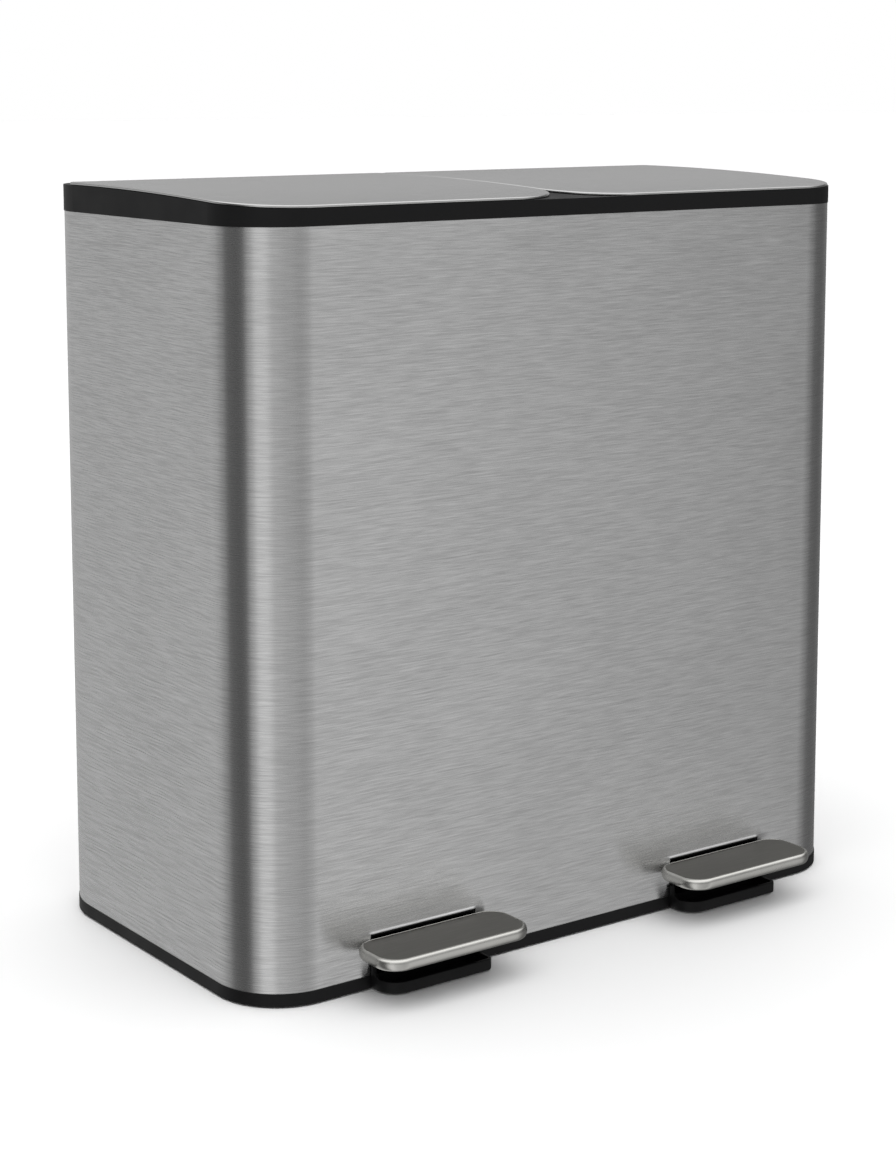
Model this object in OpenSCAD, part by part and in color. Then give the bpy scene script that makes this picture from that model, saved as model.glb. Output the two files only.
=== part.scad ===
// Two-compartment pedal bin: a brushed steel body on a plastic base, two steel
// lids on a plastic rim, and a pedal, lever, push rod and cam behind each lid.
// Millimetres, +Z up. The front faces -Y. The origin is on the floor, at the
// centre of the footprint with the pedals counted in.
// Every module below works from the middle of the body's plan. The module
// placed() then moves the piece so that the origin is where it should be.

/* [Body] */
// Outside width of the steel body
body_w = 600; // [560:5:640]
// Outside depth of the steel body
body_d = 330; // [325:1:350]
// Outside radius of the two front corners
front_corner = 55; // [45:1:60]
// Outside radius of the two rear corners
rear_corner = 65; // [50:1:70]
// Thickness of the steel sheet
sheet = 0.6; // [0.5:0.1:0.8]
// Height at which the steel body starts, above the base's black band
band_top = 11.2; // [10:0.1:14]
// Height at which the steel body ends and the rim's black band starts
rim_bottom = 581; // [560:1:600]
// How far the base and the rim stand out past the steel
band_out = 0.5; // [0.3:0.1:0.8]

/* [Rim and lids] */
// Height of the rim above its own bottom, at the highest point of its arch
rim_rise = 21; // [20:0.5:24]
// Radius of the arch that the rim and the lids follow from front to back
arch_r = 3900; // [3000:100:5000]
// How far behind the middle of the body the arch is highest
arch_back = 86; // [70:1:100]
// Height of a lid's steel above the rim
crown = 2.4; // [2.2:0.1:3]
// Gap between the two lids
lid_split = 3; // [2:0.5:5]
// Distance from the lids' rear edge to the back of the body
hinge_strip = 55; // [50:1:60]
// Width of the rim around the bucket mouths
mouth_margin = 16; // [14:1:20]
// How far each lid opens, in degrees
lid_swing = 80; // [60:1:82]

/* [Pedals] */
// Width of a pedal
pedal_w = 138; // [120:1:140]
// How far a pedal stands out in front of the body
pedal_reach = 54; // [45:1:58]
// Height of a pedal's top face at rest
pedal_top = 41; // [40:0.5:43]
// Height of a pedal's turned-down edge
pedal_edge = 8.8; // [8:0.1:9]
// Corner radius of a pedal in plan
pedal_corner = 19; // [15:1:22]
// Width of the slot in the body that a pedal's lever comes out of
slot_w = 99; // [90:1:104]
// Height of the top of that slot
slot_top = 43.8; // [43:0.1:47]
// How far a pedal guard stands out in front of the body
guard_reach = 25; // [22:1:28]
// Height of a pedal guard's front lip
guard_lip = 10.7; // [9:0.1:11]
// How far a pedal is pressed down, in degrees
pedal_swing = 7.5; // [7:0.1:7.6]

/* [Buckets] */
// Gap between a bucket's flange and the mouth it lifts through
bucket_gap = 1.5; // [1:0.5:3]
// Wall thickness of a bucket
bucket_wall = 1.8; // [1.5:0.1:3]
// How much narrower a bucket is at its foot, on each side
bucket_taper = 2; // [1.5:0.5:6]

/* [Hidden] */

$fn = 72;
fine = 720;             // segments of the large arch cylinders
far = 1000;             // longer than anything that is cut

front = -body_d / 2;
back = body_d / 2;
side = body_w / 2;
bay = body_w / 4;       // from the middle of the body to the middle of a bay
centre_y = (pedal_reach - band_out) / 2;

foot_h = 1.5;           // gap between the floor and the base
floor_t = 3;            // base floor
floor_top = foot_h + floor_t;
upstand_top = 34;       // top of the base's wall inside the steel
deck_low = 52;          // underside of the false floor
deck_t = 3;
deck_top = deck_low + deck_t;

arch_top = rim_bottom + rim_rise;
rim_wall = 2.2;
rim_tuck = 20;          // how far the rim reaches down inside the steel
lid_gap = 0.4;          // between the rim and a closed lid
lid_inset = 0.3;        // between the lid's edge and the steel's outside
lid_back = back - hinge_strip;

bar_half = 8;           // half the width of the bar between the mouths
mouth_back = lid_back - 10;
mouth_corner = front_corner - mouth_margin;
mouth_rear_corner = 20;
collar_t = 2;
collar_low = rim_bottom - 6;

hinge_y = lid_back + 16;
hinge_z = arch_top - 10;
knuckle_r = 7.5;
knuckle_half = 12;
knuckle_off = 85;       // from the middle of a bay to each knuckle
knuckle_gap = 0.5;
lug_t = 6;
hinge_pin_r = 2;
swing_room = knuckle_r + 1;

cam_r = 14;             // the rod's distance in front of the hinge axis
cam_drop = 22;          // the rod's top below the hinge axis at rest
cam_half = 7;
cam_toe = 4;
rod_travel = cam_r * lid_swing * PI / 180;
rod_y = hinge_y - cam_r;
rod_r = 3;
slide_fit = 0.1;
touch = 0.4;            // room between pieces that push on each other
rod_top = hinge_z - cam_drop - touch;

lever_z = 24;           // height of the lever's pin
lever_y = rod_y - rod_travel / tan(pedal_swing);
lever_half = 15;
lever_t = 3;
lever_front_z = pedal_top - 7;
lever_mid_z = lever_z + 4.5;
tail_z = 21.7;          // top of the lever's tail at rest
barrel_r = 5.5;
barrel_half = 20;
lever_pin_r = 3;
lever_lug_t = 8;
rod_low = tail_z + touch;

// ---------- shared outlines ----------

// Moves a piece from body-centred coordinates to the model's own frame
module placed() translate([0, centre_y, 0]) children();

// Builds the right-hand piece, or its mirror image for the left
module handed(hand) mirror([hand < 0 ? 1 : 0, 0, 0]) children();

// Moves a piece to the middle of the left or the right bay
module in_bay(hand) translate([hand * bay, 0, 0]) children();

// Rectangle with its own radius at each corner, in the order front left, front right,
// back right, back left
module soft_rect(x0, x1, y0, y1, r) {
    polygon([
        [x0, y0 + r[0]], [x0 + r[0], y0], [x1 - r[1], y0], [x1, y0 + r[1]],
        [x1, y1 - r[2]], [x1 - r[2], y1], [x0 + r[3], y1], [x0, y1 - r[3]]
    ]);
    translate([x0 + r[0], y0 + r[0]]) circle(r[0]);
    translate([x1 - r[1], y0 + r[1]]) circle(r[1]);
    translate([x1 - r[2], y1 - r[2]]) circle(r[2]);
    translate([x0 + r[3], y1 - r[3]]) circle(r[3]);
}

// The body's plan, moved inwards
module plan(inset) {
    rf = front_corner - inset;
    rr = rear_corner - inset;
    soft_rect(-side + inset, side - inset, front + inset, back - inset, [rf, rf, rr, rr]);
}

// The right-hand bucket mouth's plan, moved inwards
module mouth(inset) {
    r = mouth_corner - inset;
    q = mouth_rear_corner - inset;
    soft_rect(bar_half + inset, side - mouth_margin - inset,
              front + mouth_margin + inset, mouth_back - inset, [r, r, q, q]);
}

// The right-hand lid's plan, moved inwards from its edge
module lid_plan(inset) {
    r = front_corner - inset;
    q = 6 - inset;
    intersection() {
        soft_rect(lid_split / 2 + inset, side - lid_inset - inset,
                  front + lid_inset + inset, lid_back - inset, [r, r - lid_inset, q, q]);
        plan(lid_inset + inset);
    }
}

// A slice of a plan outline between two heights
module slab(z0, z1) translate([0, 0, z0]) linear_extrude(z1 - z0) children();

// Everything under the arch, once the arch is raised by lift
module under_arch(lift) {
    translate([0, arch_back, arch_top - arch_r])
        rotate([0, 90, 0])
            cylinder(h = far, r = arch_r + lift, center = true, $fn = fine);
}

// A side view in Y and Z, made w wide across X
module across(w) rotate([90, 0, 90]) linear_extrude(w, center = true) children();

// A round bar along X
module bar_x(r, w) rotate([0, 90, 0]) cylinder(h = w, r = r, center = true);

// ---------- base, floor and feet ----------

post_xs = [-bay - 75, -bay + 75, bay - 75, bay + 75];
post_ys = [-60, 60];
foot_xs = [-side + 50, 0, side - 50];
foot_ys = [front + 45, back - 45];
foot_r = 12;
screw_r = 1.7;
screw_head_r = 3.5;

module base() {
    color("#1b1b1c") difference() {
        union() {
            slab(foot_h, band_top) plan(-band_out);
            slab(foot_h, upstand_top) plan(sheet + 0.2);
            for (hand = [-1, 1]) in_bay(hand) lever_lugs();
        }
        difference() {
            slab(floor_top, far) plan(sheet + 2.8);
            for (hand = [-1, 1]) in_bay(hand) lever_lugs();
        }
        intersection() {
            panel_room();
            slab(band_top, far) plan(-1);
        }
        for (hand = [-1, 1]) in_bay(hand) {
            translate([-slot_w / 2, front - 5, band_top]) cube([slot_w, 20, far]);
            translate([0, lever_y, lever_z]) bar_x(lever_pin_r + 0.02, 2 * far);
        }
        for (x = foot_xs, y = foot_ys)
            translate([x, y, 0]) cylinder(h = 2 * foot_h, r = foot_r);
        for (x = post_xs, y = post_ys) translate([x, y, 0]) {
            cylinder(h = 3.2, r = screw_head_r + 0.2);
            cylinder(h = far, r = screw_r + 0.1);
        }
    }
}

// The two lugs that hold a lever's pin
module lever_lugs() {
    for (s = [-1, 1])
        translate([s * (barrel_half + 2 + lever_lug_t / 2), lever_y, (foot_h + 33) / 2])
            cube([lever_lug_t, 18, 33 - foot_h], center = true);
}

module feet() {
    color("#2a2a2a") for (x = foot_xs, y = foot_ys)
        translate([x, y, 0]) cylinder(h = 2 * foot_h, r = foot_r);
}

module false_floor() {
    color("#202022") difference() {
        union() {
            slab(deck_low, deck_top) plan(sheet + 0.2);
            slab(upstand_top, deck_low) difference() {
                plan(sheet + 0.2);
                plan(sheet + 2.8);
            }
            for (x = post_xs, y = post_ys)
                translate([x, y, floor_top]) cylinder(h = deck_low - floor_top + 1, r = 6);
        }
        for (hand = [-1, 1]) in_bay(hand) {
            translate([-slot_w / 2 - 1, front - 5, 0]) cube([slot_w + 2, 20, slot_top + 1]);
            translate([0, rod_y, 0]) cylinder(h = far, r = rod_r + 0.5);
        }
        panel_room();
        for (x = post_xs, y = post_ys)
            translate([x, y, 0]) cylinder(h = 20, r = screw_r);
    }
}

module floor_screws() {
    color("silver") for (x = post_xs, y = post_ys) translate([x, y, 0]) difference() {
        union() {
            translate([0, 0, 1.7]) cylinder(h = 1.5, r = screw_head_r);
            translate([0, 0, 1.7]) cylinder(h = 16, r = screw_r);
        }
        for (a = [0, 90]) translate([0, 0, 1.7]) rotate([0, 0, a])
            cube([4, 0.8, 1.6], center = true);
    }
}

// ---------- steel body ----------

rear_flat = 215;        // half the width of the window that the rear panel closes
rear_lap = 18;          // how far the panel laps behind the wrap on each side

module body_wrap() {
    color("#9a9a9a") difference() {
        slab(band_top, rim_bottom) difference() {
            plan(0);
            plan(sheet);
        }
        translate([-rear_flat, back - 5, 0]) cube([2 * rear_flat, 10, far]);
        for (hand = [-1, 1]) in_bay(hand)
            translate([-slot_w / 2, front - 5, 0]) cube([slot_w, 20, slot_top]);
    }
}

// The space that the rear panel takes up inside the steel
module panel_room() {
    translate([-rear_flat - rear_lap - 0.5, back - 2 * sheet - 0.35, 0])
        cube([2 * (rear_flat + rear_lap + 0.5), 5, rim_bottom]);
}

module rear_panel() {
    color("#949494")
        translate([-rear_flat - rear_lap, back - 2 * sheet - 0.05, band_top])
            cube([2 * (rear_flat + rear_lap), sheet, rim_bottom - band_top]);
}

// ---------- rim, hinge cover and buffers ----------

deck_skin = 2.2;        // thickness of the rim's top
strip_skin = 4;         // its thickness where it carries the hinge cover
cover_half = side - rear_corner - 4;
cover_y0 = hinge_y + swing_room + 4;
cover_y1 = back - 6;
cover_t = 1.6;
cover_screw_xs = [-cover_half + 15, -70, 70, cover_half - 15];
buffer_xs = [-side + mouth_margin + 60, -70, 70, side - mouth_margin - 60];
buffer_y = front + mouth_margin / 2;
buffer_r = 4;

module top_rim() {
    color("#18181a") difference() {
        intersection() {
            under_arch(0);
            union() {
                rim_band();
                rim_deck();
                for (hand = [-1, 1]) handed(hand) rim_collar();
                for (hand = [-1, 1]) in_bay(hand) hinge_lugs();
            }
        }
        panel_room();
        for (hand = [-1, 1]) handed(hand) slab(0, far) mouth(0);
        for (hand = [-1, 1]) in_bay(hand) hinge_room();
        cover_recess(0);
        for (x = cover_screw_xs) translate([x, (cover_y0 + cover_y1) / 2, arch_top - 12])
            cylinder(h = 20, r = screw_r);
        for (x = buffer_xs) translate([x, buffer_y, arch_top - 30])
            cylinder(h = 60, r = buffer_r);
    }
}

// The visible black band and the wall that tucks inside the steel
module rim_band() {
    slab(rim_bottom, arch_top + 1) difference() {
        plan(-band_out);
        plan(rim_wall);
    }
    slab(rim_bottom - rim_tuck, rim_bottom + 1) difference() {
        plan(sheet + 0.2);
        plan(sheet + 0.2 + rim_wall);
    }
}

// The arched top of the rim, thicker over the hinges
module rim_deck() {
    difference() {
        slab(rim_bottom, arch_top + 1) plan(0.5);
        under_arch(-deck_skin);
    }
    difference() {
        slab(rim_bottom, arch_top + 1) intersection() {
            plan(0.5);
            translate([-far, cover_y0 - 4]) square([2 * far, far]);
        }
        under_arch(-strip_skin);
    }
}

// The wall round the right-hand mouth
module rim_collar() {
    slab(collar_low, arch_top + 1) difference() {
        mouth(-collar_t);
        mouth(0);
    }
}

// The lugs that hold the hinge pins, hanging from the deck
module hinge_lugs() {
    for (k = [-1, 1], s = [-1, 1])
        translate([k * knuckle_off + s * (knuckle_half + knuckle_gap + lug_t / 2), hinge_y, 0])
            difference() {
                translate([-lug_t / 2, -9, hinge_z - 9]) cube([lug_t, 18, 20]);
                translate([0, 0, hinge_z]) bar_x(hinge_pin_r + 0.02, 2 * lug_t);
            }
}

// Cut-outs that the lid's knuckles and cam swing through
module hinge_room() {
    length = hinge_y + swing_room - mouth_back + 2;
    for (k = [-1, 1])
        translate([k * knuckle_off - knuckle_half - knuckle_gap, mouth_back - 2, collar_low - 5])
            cube([2 * (knuckle_half + knuckle_gap), length, 60]);
    translate([-cam_half - 2, mouth_back - 2, collar_low - 5])
        cube([2 * cam_half + 4, length, 60]);
}

// The shallow space on the rim that the hinge cover lies in
module cover_recess(inset) {
    difference() {
        slab(rim_bottom, arch_top + 5)
            soft_rect(-cover_half + inset, cover_half - inset, cover_y0 + inset,
                      cover_y1 - inset, [4, 4, 4, 4]);
        under_arch(-cover_t);
    }
}

module hinge_cover() {
    color("#232325") difference() {
        intersection() {
            cover_recess(0.2);
            under_arch(0);
        }
        for (x = cover_screw_xs) translate([x, (cover_y0 + cover_y1) / 2, arch_top - 12]) {
            cylinder(h = 30, r = screw_r + 0.2);
            translate([0, 0, 11]) cylinder(h = 5, r = screw_head_r + 0.1);
        }
    }
}

module cover_screws() {
    color("#3a3a3a") for (x = cover_screw_xs)
        translate([x, (cover_y0 + cover_y1) / 2, arch_top]) difference() {
            union() {
                translate([0, 0, -9]) cylinder(h = 8.5, r = screw_r);
                translate([0, 0, -0.99]) cylinder(h = 0.7, r = screw_head_r);
            }
            for (a = [0, 90]) rotate([0, 0, a]) cube([4, 0.8, 1.2], center = true);
        }
}

module lid_buffers() {
    color("#2c2c2c") intersection() {
        difference() {
            for (x = buffer_xs) translate([x, buffer_y, arch_top - 30])
                cylinder(h = 60, r = buffer_r);
            under_arch(-deck_skin);
        }
        under_arch(lid_gap / 2);
    }
}

// ---------- hinges and lids ----------

module hinge_pins() {
    color("silver") for (k = [-1, 1]) translate([k * knuckle_off, hinge_y, hinge_z])
        bar_x(hinge_pin_r, 2 * (knuckle_half + knuckle_gap + lug_t) + 1);
}

module lid_cover() {
    color("#a5a5a5") difference() {
        intersection() {
            slab(rim_bottom, arch_top + 10) lid_plan(0);
            under_arch(crown);
        }
        under_arch(lid_gap);
        intersection() {
            slab(rim_bottom, arch_top + 10) lid_plan(sheet);
            under_arch(crown - sheet);
        }
    }
}

plug_low = collar_low + 7;  // how far the liner reaches down into the mouth
plate_low = 0.5;            // liner plate above the arch
plate_high = crown - sheet - 0.1;

module lid_liner() {
    color("#1f1f21") difference() {
        union() {
            difference() {
                intersection() {
                    slab(rim_bottom, arch_top + 10) lid_plan(sheet + 0.3);
                    under_arch(plate_high);
                }
                under_arch(plate_low);
            }
            intersection() {
                slab(plug_low, arch_top + 5) difference() {
                    mouth(3);
                    mouth(4.8);
                }
                under_arch(plate_low + 0.2);
            }
            translate([bay, 0, 0]) {
                for (k = [-1, 1]) translate([k * knuckle_off, 0, 0]) knuckle_arm();
                cam_arm();
            }
        }
        translate([bay, hinge_y, hinge_z]) bar_x(hinge_pin_r + 0.06, 2 * knuckle_off + 60);
    }
}

// One hinge arm: a barrel round the pin and a web up to the liner's plate
module knuckle_arm() {
    across(2 * knuckle_half) {
        translate([hinge_y, hinge_z]) circle(knuckle_r);
        polygon([
            [mouth_back - 6, arch_top + 0.6], [lid_back - 2.5, arch_top + 0.6],
            [lid_back - 1.5, arch_top - 0.3], [hinge_y, hinge_z + knuckle_r],
            [hinge_y + 3, hinge_z - 6.5], [hinge_y - 6, hinge_z - 4.4],
            [mouth_back - 6, hinge_z + 4]
        ]);
    }
}

// The involute of a circle of radius cam_r: a flat rod top at cam_r in front of the axis
// then rises by cam_r times the lid's angle
function involute(t) = let (h = cam_r * t * PI / 180 - cam_drop) [
    hinge_y - (cam_r * cos(t) + h * sin(t)),
    hinge_z - cam_r * sin(t) + h * cos(t)
];

// The arm that the push rod lifts, with its cam underneath
module cam_arm() {
    across(2 * cam_half) polygon(concat(
        [for (t = [0:8:lid_swing]) involute(t)],
        [
            [hinge_y + 0.9, hinge_z - knuckle_r - 1], [hinge_y + knuckle_r, hinge_z],
            [hinge_y, hinge_z + knuckle_r], [lid_back - 1.5, arch_top - 0.3],
            [lid_back - 2.5, arch_top + 0.6], [mouth_back - 6, arch_top + 0.6],
            [mouth_back - 6, hinge_z + 4], [hinge_y - 22, hinge_z - 6],
            [hinge_y - cam_r - cam_toe, hinge_z - cam_drop]
        ]
    ));
}

// ---------- buckets ----------

bucket_top = collar_low - 4;
flange_w = 5;
flange_t = 2.5;
bucket_low = deck_top;
bucket_corner = 23;     // outside radius of its corners at the top

module bucket() {
    color("#3a3b3d") {
        difference() {
            union() {
                tub(0, bucket_low);
                slab(bucket_top - flange_t, bucket_top) mouth(bucket_gap);
            }
            tub(bucket_wall, bucket_low + bucket_wall + 0.5);
            slab(bucket_top - 1, far) tub_plan(bucket_wall);
        }
    }
}

// The bucket's tapered body, with its walls moved inwards
module tub(wall, z0) {
    hull() {
        slab(bucket_top - 1, bucket_top) tub_plan(wall);
        slab(z0, z0 + 1) tub_plan(wall + bucket_taper);
    }
}

// The plan of that body, moved inwards from its outside at the top
module tub_plan(inset) {
    edge = bucket_gap + flange_w + inset;
    r = bucket_corner - inset;
    soft_rect(bar_half + edge, side - mouth_margin - edge, front + mouth_margin + edge,
              mouth_back - edge, [r, r, r, r], $fn = 32);
}

// ---------- pedals ----------

guard_wall = 2.75;
guard_left_corner = 18;
guard_right_corner = 5;
cheek_top = 21;
cheek_depth = 4;

guard_half = slot_w / 2 - 0.25;
guard_floor = 2;
frame_wall = 1.5;
frame_depth = 15;       // how far the slot's frame reaches into the body

// A pedal guard's plan in front of the body, moved inwards
module guard_plan(inset) {
    y0 = front - guard_reach + inset;
    y1 = front - band_out - inset;
    half = guard_half - inset;
    intersection() {
        soft_rect(-half, half, y0, y1 + guard_left_corner,
                  [guard_left_corner - inset, guard_right_corner - inset, 0.5, 0.5]);
        translate([-half, y0]) square([2 * half, y1 - y0]);
    }
}

// The low tray under a pedal, with the frame of the slot behind it
module pedal_guard() {
    y1 = front - band_out;
    color("#171718") {
        difference() {
            union() {
                slab(foot_h, guard_lip) difference() {
                    guard_plan(0);
                    guard_plan(guard_wall);
                }
                slab(foot_h, foot_h + guard_floor) guard_plan(0);
                for (s = [-1, 1]) translate([s * (guard_half - guard_wall / 2), 0, 0]) cheek(y1);
                slot_frame(y1);
            }
            translate([-guard_half + frame_wall, y1 - guard_wall - 1, guard_lip])
                cube([2 * (guard_half - frame_wall), 2 * frame_depth,
                      slot_top - guard_lip - frame_wall - 0.2]);
        }
    }
}

// The frame of the slot, from the tray's back wall to the top of the slot
module slot_frame(y1) {
    translate([-guard_half, front, band_top + 0.1])
        cube([2 * guard_half, frame_depth - band_out, slot_top - band_top - 0.3]);
    translate([-guard_half, y1 - guard_wall, band_top + 0.1])
        cube([2 * guard_half, guard_wall + band_out + 1, cheek_top - band_top - 0.1]);
}

// The side wall of a guard, which sweeps up to the body in a quarter circle
module cheek(y1) {
    sweep = cheek_top - guard_lip - 4;
    across(guard_wall) difference() {
        polygon([
            [y1, foot_h], [y1 - cheek_depth - sweep, foot_h],
            [y1 - cheek_depth - sweep, guard_lip], [y1 - cheek_depth - sweep, guard_lip + sweep],
            [y1 - cheek_depth, guard_lip + sweep], [y1 - cheek_depth, cheek_top],
            [y1, cheek_top]
        ]);
        translate([y1 - cheek_depth - sweep, guard_lip + sweep]) circle(sweep);
    }
}

pedal_gap = 0.8;        // between a pedal's rear edge and the body
pedal_skin = 1.2;
pedal_low = pedal_top - pedal_edge;

module pedal_plan(inset) {
    r = pedal_corner - inset;
    soft_rect(-pedal_w / 2 + inset, pedal_w / 2 - inset, front - pedal_reach + inset,
              front - pedal_gap - inset, [r, r, r, r]);
}

module pedal_plate() {
    color("#b5b4ae") difference() {
        slab(pedal_low, pedal_top) pedal_plan(0);
        slab(pedal_low - 1, pedal_top - pedal_skin) pedal_plan(pedal_skin);
        translate([-slot_w / 2 - 2, front - 12, pedal_low - 1])
            cube([slot_w + 4, 20, pedal_edge - pedal_skin + 1]);
    }
}

module pedal_core() {
    color("#202020") difference() {
        slab(pedal_low + 0.8, pedal_top - pedal_skin - 0.05) difference() {
            pedal_plan(pedal_skin + 0.2);
            translate([-far, front - 12]) square([2 * far, far]);
        }
        translate([-lever_half - 0.2, front - pedal_reach + 6.8, 0])
            cube([2 * lever_half + 0.4, 60, lever_front_z + lever_t + 0.05]);
        for (y = rivet_ys) translate([0, y, 0]) cylinder(h = far, r = rivet_r);
    }
}

rivet_r = 2.5;
rivet_ys = [front - 38, front - 20];

module pedal_rivets() {
    color("silver") for (y = rivet_ys) translate([0, y, 0]) {
        translate([0, 0, lever_front_z - 1.4]) cylinder(h = 1.4, r = 4.5);
        translate([0, 0, lever_front_z - 0.5])
            cylinder(h = pedal_top - pedal_skin - 0.1 - lever_front_z + 0.5, r = rivet_r);
    }
}

// The steel lever: flat under the pedal, cranked down to its pin and again to its tail
module pedal_lever() {
    top = [
        [front - pedal_reach + 7, lever_front_z + lever_t], [front + 18, lever_front_z + lever_t],
        [lever_y - 22, lever_mid_z + lever_t], [lever_y + 14, lever_mid_z + lever_t],
        [lever_y + 34, tail_z], [rod_y + 10, tail_z]
    ];
    color("#8f9296") difference() {
        union() {
            across(2 * lever_half) polygon(concat(
                top, [for (i = [len(top) - 1:-1:0]) [top[i][0], top[i][1] - lever_t]]
            ));
            translate([0, lever_y, lever_z]) bar_x(barrel_r, 2 * barrel_half);
        }
        translate([0, lever_y, lever_z]) bar_x(lever_pin_r + 0.06, 4 * barrel_half);
        for (y = rivet_ys) translate([0, y, 0]) cylinder(h = far, r = rivet_r);
    }
}

module lever_pin() {
    color("silver") translate([0, lever_y, lever_z])
        bar_x(lever_pin_r, 2 * (barrel_half + 2 + lever_lug_t) + 2);
}

// ---------- rods and dampers ----------

cap_r = 4.5;
cap_h = 8;
foot_cap_r = 5.5;
foot_cap_h = 10;
channel_half = 16;
channel_wall = 1.6;
channel_top = rim_bottom - rim_tuck - 1;
channel_y0 = mouth_back + 0.4;
channel_y1 = back - 2 * sheet - 0.3;
damper_low = 140;
damper_h = 150;
damper_r = 8;
piston_r = 6.7;

module push_rod() {
    color("silver") translate([0, rod_y, rod_low + 3]) cylinder(h = rod_top - rod_low - 5, r = rod_r);
}

module rod_caps() {
    color("#d8d6cf") translate([0, rod_y, 0]) {
        difference() {
            translate([0, 0, rod_top - cap_h]) cylinder(h = cap_h, r = cap_r);
            translate([0, 0, rod_top - cap_h - 1]) cylinder(h = cap_h - 1, r = rod_r);
        }
        difference() {
            union() {
                translate([0, 0, rod_low + foot_cap_r]) sphere(foot_cap_r);
                translate([0, 0, rod_low + foot_cap_r])
                    cylinder(h = foot_cap_h - foot_cap_r, r = foot_cap_r);
            }
            translate([0, 0, rod_low + 3]) cylinder(h = foot_cap_h, r = rod_r);
        }
    }
}

module rod_channel() {
    color("#242426") difference() {
        union() {
            translate([-channel_half, channel_y0, deck_top])
                cube([2 * channel_half, channel_y1 - channel_y0, channel_top - deck_top]);
        }
        translate([-channel_half + channel_wall, channel_y0 + channel_wall, deck_top + 3])
            cube([2 * (channel_half - channel_wall), far, channel_top - deck_top - 6]);
        translate([0, rod_y, 0]) cylinder(h = far, r = rod_r + slide_fit);
    }
}

module damper() {
    color("#c9c9c4") difference() {
        union() {
            translate([0, rod_y, damper_low]) cylinder(h = damper_h, r = damper_r);
            translate([-2, rod_y + damper_r - 1, damper_low + 20])
                cube([4, channel_y1 - rod_y - damper_r + 1, damper_h - 40]);
        }
        translate([0, rod_y, damper_low + 3]) cylinder(h = damper_h - 6, r = piston_r + slide_fit);
        translate([0, rod_y, 0]) cylinder(h = far, r = rod_r + slide_fit);
    }
}

module damper_piston() {
    color("#55565a") translate([0, rod_y, damper_low + 40]) difference() {
        cylinder(h = 10, r = piston_r);
        translate([0, 0, -1]) cylinder(h = 12, r = rod_r);
    }
}

// ---------- which node is drawn ----------

placed() base();
placed() false_floor();
placed() body_wrap();
placed() rear_panel();
placed() top_rim();
placed() hinge_cover();
placed() feet();
placed() floor_screws();
placed() cover_screws();
placed() lid_buffers();
placed() in_bay(-1) pedal_guard();  // pedal_guard_left
placed() in_bay(1) pedal_guard();  // pedal_guard_right
placed() in_bay(-1) rod_channel();  // rod_channel_left
placed() in_bay(1) rod_channel();  // rod_channel_right
placed() in_bay(-1) damper();  // damper_left
placed() in_bay(1) damper();  // damper_right
placed() in_bay(-1) lever_pin();  // lever_pin_left
placed() in_bay(1) lever_pin();  // lever_pin_right
placed() in_bay(-1) hinge_pins();  // hinge_pins_left
placed() in_bay(1) hinge_pins();  // hinge_pins_right
placed() handed(-1) bucket();  // bucket_left
placed() handed(1) bucket();  // bucket_right
placed() handed(-1) lid_cover();  // lid_cover_left
placed() handed(1) lid_cover();  // lid_cover_right
placed() handed(-1) lid_liner();  // lid_liner_left
placed() handed(1) lid_liner();  // lid_liner_right
placed() in_bay(-1) pedal_plate();  // pedal_plate_left
placed() in_bay(1) pedal_plate();  // pedal_plate_right
placed() in_bay(-1) pedal_core();  // pedal_core_left
placed() in_bay(1) pedal_core();  // pedal_core_right
placed() in_bay(-1) pedal_lever();  // pedal_lever_left
placed() in_bay(1) pedal_lever();  // pedal_lever_right
placed() in_bay(-1) pedal_rivets();  // pedal_rivets_left
placed() in_bay(1) pedal_rivets();  // pedal_rivets_right
placed() in_bay(-1) push_rod();  // push_rod_left
placed() in_bay(1) push_rod();  // push_rod_right
placed() in_bay(-1) rod_caps();  // rod_caps_left
placed() in_bay(1) rod_caps();  // rod_caps_right
placed() in_bay(-1) damper_piston();  // damper_piston_left
placed() in_bay(1) damper_piston();  // damper_piston_right
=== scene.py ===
import logging
import math
from dataclasses import dataclass, field
from enum import Enum
from typing import Callable, Sequence

import bmesh
import bpy
import numpy as np
from mathutils import Matrix, Vector


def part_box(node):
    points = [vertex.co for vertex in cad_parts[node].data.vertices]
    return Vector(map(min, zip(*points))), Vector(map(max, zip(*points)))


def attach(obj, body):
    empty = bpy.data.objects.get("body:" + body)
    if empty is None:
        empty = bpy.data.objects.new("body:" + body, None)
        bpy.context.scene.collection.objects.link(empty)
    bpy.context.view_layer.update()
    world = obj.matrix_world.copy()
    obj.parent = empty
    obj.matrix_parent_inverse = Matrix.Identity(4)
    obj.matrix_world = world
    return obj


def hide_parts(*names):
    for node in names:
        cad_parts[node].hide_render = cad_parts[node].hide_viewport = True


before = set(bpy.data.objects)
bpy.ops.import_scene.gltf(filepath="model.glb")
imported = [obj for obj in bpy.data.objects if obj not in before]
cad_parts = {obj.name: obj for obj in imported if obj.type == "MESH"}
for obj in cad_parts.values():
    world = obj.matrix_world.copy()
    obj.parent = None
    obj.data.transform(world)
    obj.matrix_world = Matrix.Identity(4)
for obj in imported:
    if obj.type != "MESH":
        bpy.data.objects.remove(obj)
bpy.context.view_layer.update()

log = logging.getLogger("pedal_bin")
MM = 0.001
TOUCH = 0.001 * MM  # points nearer than this to a plane count as on it
DOUBLE = 0.002 * MM  # points nearer to each other than this are merged
DEGENERATE = 0.0001 * MM  # edges shorter than this are dissolved
MIX_FIRST, MIX_SECOND, MIX_RESULT = 6, 7, 2  # the Mix node's sockets for colours

Lift = Callable[[np.ndarray, np.ndarray], np.ndarray]
Socket = bpy.types.NodeSocket


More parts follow.
